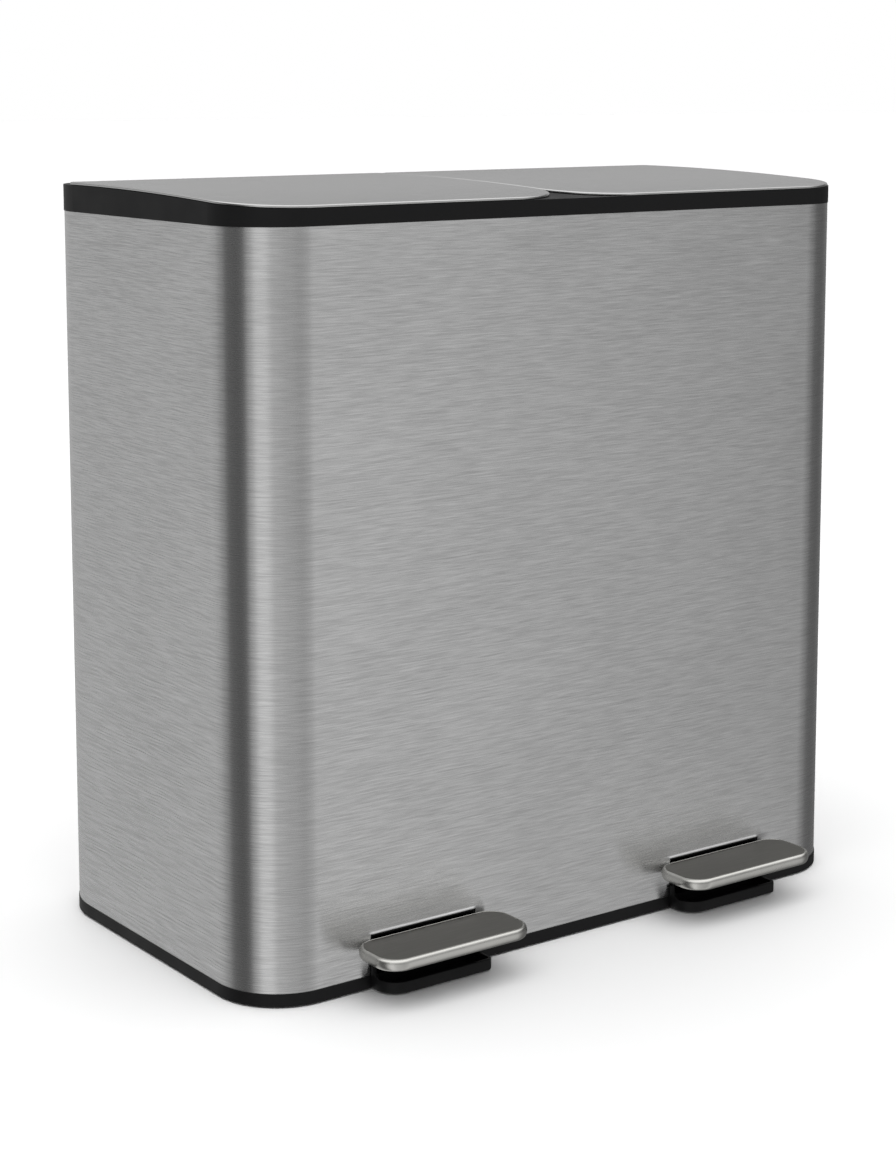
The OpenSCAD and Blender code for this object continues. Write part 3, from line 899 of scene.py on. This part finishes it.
@dataclass
class Pedal:
    """One pedal: a steel cap with a rolled edge, a dark tread, a core, a lever and rivets.

    Attributes:
        shop: The workshop.
        layout: The bin's main measures.
        hand: The pedal's side.
        corner: Radius of its corners in plan, in metres.
        roll: Depth of the rolled edge, in millimetres as the next five are.
        waist: Height of the edge's widest place above the cap's foot.
        groove: Width of the groove round the tread.
        brow: Width of the flat between the roll and the groove.
        bed: Depth of the groove and of the bed under the tread.
        skin: Thickness of the cap's sheet.
        notch_half: Half the width of the cut in the rear wall, in metres.
        notch_depth: How far forward of the body the cut reaches, in metres.
    """

    shop: Workshop
    layout: Layout
    hand: Hand
    corner: float = 19 * MM
    roll: float = 2.8
    waist: float = 4.2
    groove: float = 0.5
    brow: float = 0.37
    bed: float = 0.55
    skin: float = 1.2
    notch_half: float = 51.5 * MM
    notch_depth: float = 12 * MM

    def build(self) -> None:
        """Builds the cap and the tread and dresses the rest."""
        word = self.hand.word
        low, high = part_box(f"pedal_plate_{word}")
        plan = RoundedPlan((low[0], high[0]), (low[1], high[1]), (self.corner,) * 4)
        self.build_cap(plan, low[2], high[2])
        self.build_tread(plan, high[2])
        self.shop.dress("black", f"pedal_core_{word}")
        self.shop.dress("pressed", f"pedal_lever_{word}")
        self.shop.dress("zinc", f"pedal_rivets_{word}")

    def build_cap(self, plan: RoundedPlan, bottom: float, top: float) -> None:
        """The cap: a wall with a hemmed foot, a half-round edge and a bed for the tread.

        The edge is two part ellipses that meet at the waist: its inset at an angle is the
        roll's depth times one less the cosine, and its height follows the sine.

        Args:
            plan: The cap's outline in plan.
            bottom: Height of its foot.
            top: Height of its top.
        """
        word, roll, skin = self.hand.word, self.roll, self.skin
        tall = (top - bottom) / MM
        bed = tall - self.bed
        lower, upper = np.radians(np.linspace(-62, 0, 9)), np.radians(np.linspace(0, 90, 15))[1:]
        drop = (self.waist - 0.25) / math.sin(math.radians(62))
        edge = np.concatenate([
            np.column_stack([roll * (1 - np.cos(lower)), self.waist + drop * np.sin(lower)]),
            np.column_stack([roll * (1 - np.cos(upper)), self.waist + (tall - self.waist) * np.sin(upper)]),
        ])
        hem = edge[0, 0] + 0.35
        rows = profile(
            (hem + 0.6, tall - skin), (hem + 0.6, 0.9), arc((hem + 0.1, 0.5), 0.5, 0, -90, 4), edge,
            (roll + 0.25, tall), (roll + 0.35, tall - 0.1), (roll + self.brow, bed), (roll + 3.0, bed),
        )
        rows[:, 1] += bottom
        ring = plan.outline(arc_steps=22, side_steps=24)
        short = self.cut_short(rows, bottom, top)
        wall = np.where(self.over_slot(ring)[None, :, None], sweep(ring, short), sweep(ring, rows))
        cap = Shape().grid(wall)
        cap.grid(close_in(wall[-1], plan, rows[-1, 1], steps=6))
        cap.grid(close_in(wall[0], plan, rows[0, 1], steps=6), flip=True)
        piece = cap.piece(f"pedal_cap_{word}")
        self.shop.mount(piece, "pedal_edge", "pedal_steel", f"pedal_{word}", [f"pedal_plate_{word}"])

    def over_slot(self, ring: Outline) -> np.ndarray:
        """Finds the points of the cap's outline that lie over the slot's frame and the lever.

        Args:
            ring: The outline.

        Returns:
            True for each such point.
        """
        middle = self.hand.value * self.layout.bay
        beside = np.abs(ring.points[:, 0] - middle) < self.notch_half
        return beside & (ring.points[:, 1] > self.layout.front - self.notch_depth)

    def cut_short(self, rows: np.ndarray, bottom: float, top: float) -> np.ndarray:
        """The cap's profile where its rear wall is left out.

        Each point below the cut moves to the place where the edge's ellipse meets the cut:
        its inset is roll * (1 - sqrt(1 - s**2)), where s is the cut's share of the way from
        the waist to the top.

        Args:
            rows: The whole profile.
            bottom: Height of the cap's foot.
            top: Height of its top.

        Returns:
            The profile of the shoulder alone.
        """
        cut = top - (self.skin + 0.1) * MM
        waist = bottom + self.waist * MM
        share = (cut - waist) / (top - waist)
        inset = self.roll * MM * (1 - math.sqrt(1 - share**2))
        return np.where(rows[:, 1:] < cut, np.array([[inset, cut]]), rows)

    def build_tread(self, plan: RoundedPlan, top: float) -> None:
        """The tread: a thin dark sheet with a small chamfer, a groove's width inside the roll.

        The wrap mirrors only the bright cap under it.

        Args:
            plan: The cap's outline in plan.
            top: Height of the cap's top.
        """
        word = self.hand.word
        inner = plan.inset((self.roll + self.brow + self.groove) * MM)
        rows = profile((0.0, -0.5), (0.0, -0.22), (0.12, -0.1), (0.4, -0.06), (3.0, -0.04))
        rows[:, 1] += top
        ring = sweep(inner.outline(arc_steps=22, side_steps=24), rows)
        tread = Shape().grid(ring)
        tread.grid(close_in(ring[-1], inner, rows[-1, 1], steps=6))
        tread.grid(close_in(ring[0], inner, rows[0, 1], steps=3), flip=True)
        piece = tread.piece(f"pedal_tread_{word}")
        piece.visible_glossy = False
        self.shop.mount(piece, "pedal_top", "pedal_steel", f"pedal_{word}")


@dataclass
class PedalGuard:
    """The low black tray under a pedal, and the frame that lines the slot behind it.

    Attributes:
        shop: The workshop.
        layout: The bin's main measures.
        hand: The guard's side.
        half: Half the tray's width.
        reach: How far it stands out of the body.
        wall: Thickness of its wall, in millimetres.
        lip: Height of its wall at the front.
        cheek: Height of its wall at the body.
        sweep_radius: Length over which the wall sweeps up.
        bottom: Height of its floor's underside.
    """

    shop: Workshop
    layout: Layout
    hand: Hand
    half: float = 49.25 * MM
    reach: float = 25 * MM
    wall: float = 2.75
    lip: float = 10.7 * MM
    cheek: float = 21 * MM
    sweep_radius: float = 9 * MM
    bottom: float = 1.5 * MM

    def build(self) -> None:
        """Builds the tray and the slot's frame."""
        self.build_tray()
        self.build_frame()

    def build_tray(self) -> None:
        """The tray: a wall's profile carried from the body round the front and back.

        The wall's top is level at the lip's height and sweeps up near the body along a
        quarter ellipse.
        """
        lay, word = self.layout, self.hand.word
        middle = self.hand.value * lay.bay
        joint = lay.front - 0.5 * MM
        plan = RoundedPlan(
            (middle - self.half, middle + self.half), (lay.front - self.reach, joint),
            (18 * MM, 5 * MM, 0.3 * MM, 0.3 * MM),
        )
        ring = plan.outline(arc_steps=16, side_steps=24)
        kept = (ring.points[:, 1] < joint - TOUCH) | (np.abs(ring.normals[:, 0]) > 0.999)
        ring = ring.only(kept)
        rise = np.clip((ring.points[:, 1] - (joint - 3 * MM - self.sweep_radius)) / self.sweep_radius, 0, 1)
        height = self.lip + (self.cheek - self.lip) * (1 - np.sqrt(1 - rise**2))
        soft = 0.7
        outer = arc((1.2, 1.2), 1.2, 270, 180, 5)
        crown = np.concatenate([
            arc((soft, -soft), soft, 180, 90, 4), arc((self.wall - soft, -soft), soft, 90, 0, 4)
        ])
        foot = arc((self.wall + 1.0, 3.0), 1.0, 180, 270, 4)
        rows = profile(outer, crown, foot)
        share = np.concatenate([np.zeros(len(outer)), np.ones(len(crown)), np.zeros(len(foot))])
        points = sweep(ring, rows)
        points[..., 2] += np.outer(share, height) + np.outer(1 - share, np.full(len(height), self.bottom))
        shape = Shape().grid(points, closed=False)
        self.floor(shape, points[-1], joint, flip=False)
        self.floor(shape, points[0], joint, flip=True)
        tray = shape.piece(f"guard_tray_{word}")
        self.shop.mount(tray, "black", "black_plastic", "root", [f"pedal_guard_{word}"])

    def floor(self, shape: Shape, edge: np.ndarray, joint: float, flip: bool) -> None:
        """Fills the tray's floor between its edge and the body, along lines of constant x.

        Args:
            shape: The shape to add to.
            edge: The floor's edge points.
            joint: The y of the joint with the body.
            flip: Turns the faces round.
        """
        share = np.linspace(0, 1, 5)[:, None, None]
        far = edge.copy()
        far[:, 1] = joint
        shape.grid(edge[None] + share * (far - edge)[None], closed=False, flip=flip)

    def build_frame(self) -> None:
        """The slot's frame: a rectangular section carried up, across and down, mitred."""
        lay, word = self.layout, self.hand.word
        middle = self.hand.value * lay.bay
        thick, foot, top = 1.6 * MM, 11.3 * MM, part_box(f"pedal_guard_{word}")[1][2]
        near, far = lay.front, lay.front + 14.5 * MM
        hands, raised = np.array([-1, -1, 1, 1]), np.array([0, 1, 1, 0])
        section = ((0, near), (0, far), (thick, far), (thick, near))
        path = np.stack([
            np.column_stack([
                middle + hands * (self.half - inset),
                np.full(4, depth),
                foot + raised * (top - inset - foot),
            ])
            for inset, depth in section
        ], axis=1)
        shape = Shape().grid(path)
        for end, flip in ((path[0], False), (path[-1], True)):
            shape.grid(end[[0, 1, 3, 2]].reshape(2, 2, 3), closed=False, flip=flip)
        piece = shape.piece(f"slot_frame_{word}")
        self.shop.mount(piece, "black", "black_plastic", "root")


@dataclass
class Bucket:
    """One lift-out bucket: a tapered tub with a flange, a stacking step and a flat floor.

    Attributes:
        shop: The workshop.
        layout: The bin's main measures.
        hand: The bucket's side.
        flange: Width of the flange, in millimetres as the rest are.
        brim: Thickness of the flange with its turned-down edge.
        wall: Thickness of the wall.
        taper: How far the wall leans in.
        shelf: Depth of the stacking step below the top.
        step: Width of the stacking step.
        foot: Radius of the outside corner at the floor.
        cove: Radius of the inside corner at the floor.
        base: Thickness of the floor.
    """

    shop: Workshop
    layout: Layout
    hand: Hand
    flange: float = 5.0
    brim: float = 3.4
    wall: float = 1.8
    taper: float = 2.0
    shelf: float = 60.0
    step: float = 1.2
    foot: float = 4.0
    cove: float = 6.0
    base: float = 2.0

    def build(self) -> None:
        """The tub: one profile up the outside, over the brim and down the inside.

        The wall leans in towards the foot, with a small step below the flange. Both faces of
        the floor are filled from the profile's ends to the plan's middle line.
        """
        word = self.hand.word
        low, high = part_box(f"bucket_{word}")
        front, rear = 37.5 * MM, 18.5 * MM
        radii = (front, front, rear, rear)
        plan = RoundedPlan((low[0], high[0]), (low[1], high[1]), radii)
        tall = (high[2] - low[2]) / MM
        shelf, brim, base, wall = tall - self.shelf, tall - self.brim, self.base, self.wall
        lean = self.flange + self.taper
        below = self.flange + self.taper * 0.14
        neck = self.flange + 0.35
        outside = profile(
            arc((lean + self.foot, self.foot), self.foot, 270, 180, 6),
            (below, shelf - 10), (neck + self.step, shelf - 2), (neck, shelf + 2),
            (self.flange, brim), (0.6, brim),
            arc((1.2, tall - 1.6), 1.2, 210, 90, 6),
            arc((self.flange + wall - 1.5, tall - 1.9), 1.5, 90, 0, 5),
            (neck + wall, shelf + 2), (neck + wall + self.step, shelf - 2), (below + wall, shelf - 10),
            arc((lean + wall + self.cove, base + self.cove), self.cove, 180, 270, 7),
        )
        outside[:, 1] += low[2]
        ring = plan.outline(arc_steps=14, side_steps=8)
        rows = sweep(ring, outside)
        tub = Shape().grid(rows)
        tub.grid(close_in(rows[-1], plan, outside[-1, 1], steps=6))
        tub.grid(close_in(rows[0], plan, outside[0, 1], steps=6), flip=True)
        piece = tub.piece(f"inner_bucket_{word}")
        self.shop.mount(piece, "bucket", "bucket_plastic", "root", [f"bucket_{word}"])


@dataclass
class Works:
    """The base, rim, floor and linkage, whose CAD shapes stay and take their finishes."""

    shop: Workshop

    def build(self) -> None:
        """Dresses every CAD node that stays in view or inside."""
        sides = [hand.word for hand in Hand]
        self.shop.dress("black", "base", "false_floor", "top_rim", "hinge_cover")
        self.shop.dress("rubber", "feet", "lid_buffers")
        self.shop.dress("zinc", "floor_screws", "cover_screws")
        for name, finish in (
            ("rod_channel", "black"), ("damper", "damper"), ("lever_pin", "zinc"), ("hinge_pins", "zinc"),
            ("push_rod", "zinc"), ("rod_caps", "nylon"), ("damper_piston", "black"),
        ):
            self.shop.dress(finish, *(f"{name}_{side}" for side in sides))


# ---------------------------------------------------------------------------
# Studio
# ---------------------------------------------------------------------------


class Surroundings(Wiring):
    """A new world, seen by the direction that each ray looks in."""

    def __init__(self, name: str) -> None:
        """Starts with the direction alone."""
        self.world = bpy.data.worlds.new(name)
        self.world.use_nodes = True
        super().__init__(self.world.node_tree)
        self.direction = self.add("ShaderNodeTexCoord").outputs["Generated"]

    def ramp(self, azimuth: Socket, stops: Sequence[tuple[float, float]]) -> Socket:
        """A grey that changes with the compass direction.

        Args:
            azimuth: The direction, from -pi to pi.
            stops: Directions in degrees with the grey's value at each.

        Returns:
            The grey, eased from one stop to the next.
        """
        share = self.add("ShaderNodeMapRange", azimuth)
        share.inputs["From Min"].default_value = -math.pi
        share.inputs["From Max"].default_value = math.pi
        ramp = self.add("ShaderNodeValToRGB", share.outputs[0])
        ramp.color_ramp.interpolation = "EASE"
        for _ in stops[2:]:  # a new ramp has two stops
            ramp.color_ramp.elements.new(0.5)
        for element, (degrees, value) in zip(ramp.color_ramp.elements, stops):
            element.position = (degrees + 180) / 360
            element.color = (value, value, value, 1)
        return ramp.outputs[0]

    def step(
        self, sine: Socket, start: float, end: float, first: float = 0.0, last: float = 1.0
    ) -> Socket:
        """A smooth step from first to last, as an angle given by its sine goes from start to end.

        Args:
            sine: The sine of the angle.
            start: Where the step starts, in degrees.
            end: Where it ends, in degrees.
            first: Value before the step.
            last: Value after it.

        Returns:
            The value.
        """
        node = self.add("ShaderNodeMapRange", sine, interpolation_type="SMOOTHSTEP")
        node.inputs["From Min"].default_value = math.sin(math.radians(start))
        node.inputs["From Max"].default_value = math.sin(math.radians(end))
        node.inputs["To Min"].default_value = first
        node.inputs["To Max"].default_value = last
        return node.outputs[0]

    def times(self, first: Socket, second: Socket) -> Socket:
        """The product of two values."""
        return self.add("ShaderNodeMath", first, second, operation="MULTIPLY").outputs[0]

    def over(self, under: Socket, grey: float, factor: Socket) -> Socket:
        """Lays a grey over a colour.

        Args:
            under: The colour.
            grey: The grey's value.
            factor: 0 for the colour alone, 1 for the grey alone.

        Returns:
            The mixed colour.
        """
        node = self.add("ShaderNodeMix", factor, data_type="RGBA")
        self.join(under, node.inputs[MIX_FIRST])
        node.inputs[MIX_SECOND].default_value = (grey, grey, grey, 1)
        return node.outputs[MIX_RESULT]


@dataclass(frozen=True)
class Studio:
    """The pale floor, the soft light and the camera.

    Attributes:
        place: The camera's place.
        yaw: How far the camera is turned from +Y towards +X, in degrees.
        pitch: How far it looks down, in degrees.
        roll: How far it is rolled, in degrees.
        lens: Focal length for a 36 mm long side.
        shift: Vertical shift of the lens.
        walls_end: Height above the horizon where the walls start to give way, in degrees.
        ceiling_start: Height above the horizon where the ceiling is all there is.
        ceiling: Brightness of the ceiling.
        shade_start: Height above the horizon where the walls start to darken, in degrees.
        shade_end: Height where they are darkest.
        shade: Share of their brightness that is left there.
        far: Brightness of the panel on the far side, which the lids mirror.
        far_low: Height above the horizon where the panel starts, in degrees.
        far_high: Height where it is all there is.
        far_fade: Height where it starts to fade, in degrees.
        far_top: Height where it has faded to far_rest.
        far_rest: Share of it that is left there.
        far_core: Half the width over which it is whole, in degrees.
        far_edge: Half the width where it has faded out.
        lamp_place: The overhead lamp's place.
        lamp_aim: The point that it shines at.
        lamp_size: Side of the lamp.
        lamp_power: Its power in watts.
        floor_reach: Half the floor's width.
    """

    place: tuple[float, float, float] = (-1.1659, -1.5703, 0.6889)
    yaw: float = 35.976
    pitch: float = 7.887
    roll: float = -0.014
    lens: float = 74.26
    shift: float = -0.15
    walls_end: float = 18.0
    ceiling_start: float = 50.0
    ceiling: float = 1.55
    shade_start: float = 1.5
    shade_end: float = 9.0
    shade: float = 0.62
    far: float = 0.56
    far_low: float = 1.0
    far_high: float = 6.0
    far_fade: float = 7.0
    far_top: float = 22.0
    far_rest: float = 0.1
    far_core: float = 20.0
    far_edge: float = 45.0
    lamp_place: tuple[float, float, float] = (-0.5, -0.3, 3.0)
    lamp_aim: tuple[float, float, float] = (0, 0, 0.2)
    lamp_size: float = 2.6
    lamp_power: float = 14.0
    floor_reach: float = 30.0

    def build(self) -> None:
        """Sets up the whole studio."""
        bpy.context.scene.view_settings.view_transform = "Standard"
        self.build_camera()
        self.build_floor()
        self.build_world()
        self.build_lamp()

    def build_camera(self) -> None:
        """The camera, turned by yaw, pitch and roll from looking along +Y."""
        data = bpy.data.cameras.new("camera")
        data.sensor_width = 36
        data.lens = self.lens
        data.shift_y = self.shift
        camera = bpy.data.objects.new("camera", data)
        turn = (
            Matrix.Rotation(-math.radians(self.yaw), 4, "Z")
            @ Matrix.Rotation(math.pi / 2 - math.radians(self.pitch), 4, "X")
            @ Matrix.Rotation(math.radians(self.roll), 4, "Z")
        )
        camera.matrix_world = Matrix.Translation(self.place) @ turn
        bpy.context.scene.collection.objects.link(camera)
        bpy.context.scene.camera = camera

    def build_floor(self) -> None:
        """A wide pale floor, which the steel doesn't mirror."""
        mesh = bpy.data.meshes.new("floor")
        far = self.floor_reach
        mesh.from_pydata([(-far, -far, 0), (far, -far, 0), (far, far, 0), (-far, far, 0)], [], [(0, 1, 2, 3)])
        floor = bpy.data.objects.new("floor", mesh)
        bpy.context.scene.collection.objects.link(floor)
        graph = Graph("Pale_Floor")
        graph.set(Base_Color=(0.95, 0.95, 0.95, 1), Roughness=0.5)
        graph.shader.inputs["Specular IOR Level"].default_value = 0.2
        mesh.materials.append(graph.material)
        floor.visible_glossy = False

    def build_world(self) -> None:
        """A white room whose brightness changes smoothly with the compass direction.

        The camera itself sees plain white. Everything else sees a ring of soft panels, whose
        brightness at each azimuth comes from a ramp and falls off above the horizon, with one
        pale panel above the horizon on the far side and a bright ceiling.
        """
        sky = Surroundings("studio")
        bpy.context.scene.world = sky.world
        x, y, height = sky.add("ShaderNodeSeparateXYZ", sky.direction).outputs
        azimuth = sky.add("ShaderNodeMath", y, x, operation="ARCTAN2").outputs[0]
        walls = sky.add("ShaderNodeVectorMath", sky.ramp(azimuth, self.panels()), operation="SCALE")
        sky.join(sky.step(height, self.shade_start, self.shade_end, 1.0, self.shade), walls.inputs["Scale"])
        yaw = math.radians(self.yaw)
        facing = sky.add("ShaderNodeVectorMath", sky.direction, operation="DOT_PRODUCT")
        facing.inputs[1].default_value = (math.sin(yaw), math.cos(yaw), 0)
        ahead = sky.step(facing.outputs["Value"], 90 - self.far_edge, 90 - self.far_core)
        raised = sky.step(height, self.far_low, self.far_high)
        fading = sky.step(height, self.far_fade, self.far_top, 1.0, self.far_rest)
        panelled = sky.over(walls.outputs[0], self.far, sky.times(sky.times(ahead, raised), fading))
        above = sky.step(height, self.walls_end, self.ceiling_start)
        room = sky.add("ShaderNodeBackground", sky.over(panelled, self.ceiling, above))
        seen = sky.add("ShaderNodeBackground")
        seen.inputs[0].default_value = (1, 1, 1, 1)
        to_camera = sky.add("ShaderNodeLightPath").outputs["Is Camera Ray"]
        mix = sky.add("ShaderNodeMixShader", to_camera, room.outputs[0], seen.outputs[0])
        sky.add("ShaderNodeOutputWorld", mix.outputs[0])

    def panels(self) -> list[tuple[float, float]]:
        """Gives the brightness of the room by compass direction.

        Returns:
            Directions in degrees from +X towards +Y, each with its brightness.
        """
        return [
            (-180, 0.12), (-172, 0.16), (-160, 0.62), (-149, 1.02), (-138, 1.02), (-122, 0.72),
            (-100, 0.62), (-80, 0.54), (-68, 0.62), (-57, 0.86), (-50, 0.7), (-44, 0.54),
            (-32, 0.38), (-18, 0.2), (0, 0.17), (25, 0.2), (50, 0.26), (72, 0.48), (95, 0.6),
            (120, 0.68), (135, 0.62), (148, 0.42), (162, 0.15), (180, 0.12),
        ]

    def build_lamp(self) -> None:
        """One large soft lamp overhead, which gives the shadows their direction."""
        data = bpy.data.lights.new("overhead", "AREA")
        data.size = self.lamp_size
        data.energy = self.lamp_power
        lamp = bpy.data.objects.new("overhead", data)
        lamp.visible_glossy = False
        lamp.location = self.lamp_place
        lamp.rotation_mode = "QUATERNION"
        aim = Vector(self.lamp_aim) - Vector(self.lamp_place)
        lamp.rotation_quaternion = aim.to_track_quat("-Z", "Y")
        bpy.context.scene.collection.objects.link(lamp)


def main() -> None:
    """Builds the studio and every sub-assembly."""
    logging.basicConfig(level=logging.INFO, format="%(name)s: %(message)s")
    layout = Layout.read()
    shop = Workshop(Palette())
    Studio().build()
    SteelBody(shop, layout).build()
    Works(shop).build()
    for hand in Hand:
        Lid(shop, layout, hand).build()
        Pedal(shop, layout, hand).build()
        PedalGuard(shop, layout, hand).build()
        Bucket(shop, layout, hand).build()


if __name__ == "__main__":
    main()
